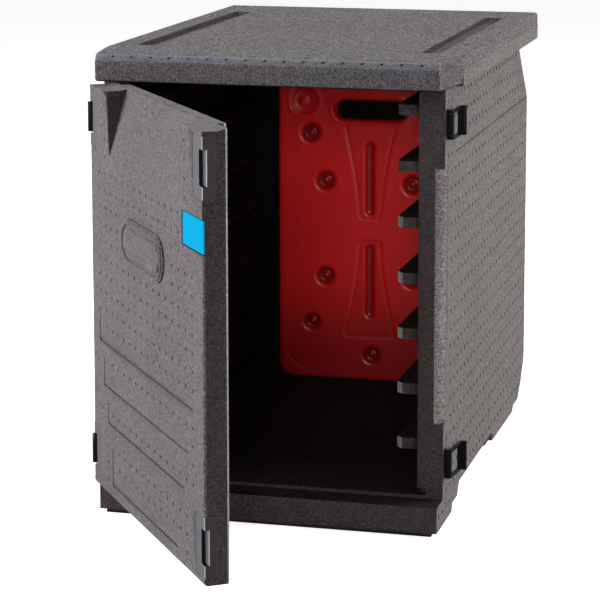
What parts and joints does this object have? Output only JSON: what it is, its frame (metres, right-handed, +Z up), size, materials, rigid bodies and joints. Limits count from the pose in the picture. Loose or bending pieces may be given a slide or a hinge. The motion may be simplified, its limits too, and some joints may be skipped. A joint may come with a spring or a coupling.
{
  "type": "insulated food carrier",
  "caption": "Front-loading insulated foam carrier for food trays, with a door on swinging hinge loops, swinging latch loops, tray rails and a slab food warmer standing at the back.",
  "frame": {"origin": "centre of the underside of the front foot, on the floor", "axes": "+Z up, +Y from the front of the carrier to its back, +X to the right as seen from the front"},
  "size_m": [0.5492, 1.1797, 0.687],
  "materials": {
    "foam": "matt moulded bead foam, charcoal",
    "keeper": "satin moulded nylon, mid grey",
    "hardware": "semi-gloss moulded nylon, black",
    "pin": "drawn stainless steel rod",
    "label": "satin coloured card, cyan",
    "warmer": "blow-moulded satin plastic, dark red",
    "gel": "clear gel charge, hidden inside the slab"
  },
  "bodies": {
    "carrier": {"body_shell": "foam", "top_lid": "foam", "hinge_upper_base": "hardware", "hinge_lower_base": "hardware", "latch_upper_base": "hardware", "latch_lower_base": "hardware", "hinge_upper_pin": "pin", "hinge_lower_pin": "pin", "latch_upper_pin": "pin", "latch_lower_pin": "pin"},
    "hinge_loops": {"hinge_upper_loop": "hardware", "hinge_lower_loop": "hardware"},
    "door": {"door_panel": "foam", "label_plate": "label", "hinge_keeper_upper": "keeper", "hinge_keeper_lower": "keeper", "latch_keeper_upper": "keeper", "latch_keeper_lower": "keeper"},
    "latch_loop_upper": {"latch_upper_loop": "hardware"},
    "latch_loop_lower": {"latch_lower_loop": "hardware"},
    "warmer": {"warmer_shell": "warmer", "warmer_gel": "gel", "warmer_cap": "warmer"}
  },
  "joints": [
    {"name": "hinge_loops_swing", "type": "hinge", "parent": "carrier", "child": "hinge_loops", "pos_m": [-0.261, -0.006, 0.342], "axis": [0, 0, -1], "range_deg": [-10, 168]},
    {"name": "door_swing", "type": "hinge", "parent": "hinge_loops", "child": "door", "pos_m": [-0.25868, -0.05617, 0.342], "axis": [0, 0, -1], "range_deg": [-44.4, 47.6]},
    {"name": "latch_upper_swing", "type": "hinge", "parent": "carrier", "child": "latch_loop_upper", "pos_m": [0.261, -0.006, 0.594], "axis": [0, 0, 1], "range_deg": [-179, 0]},
    {"name": "latch_lower_swing", "type": "hinge", "parent": "carrier", "child": "latch_loop_lower", "pos_m": [0.261, -0.006, 0.097], "axis": [0, 0, 1], "range_deg": [-174, 0]},
    {"name": "warmer_slide", "type": "slide", "parent": "carrier", "child": "warmer", "axis": [0, -1, 0], "range_m": [0, 0.55]}
  ]
}
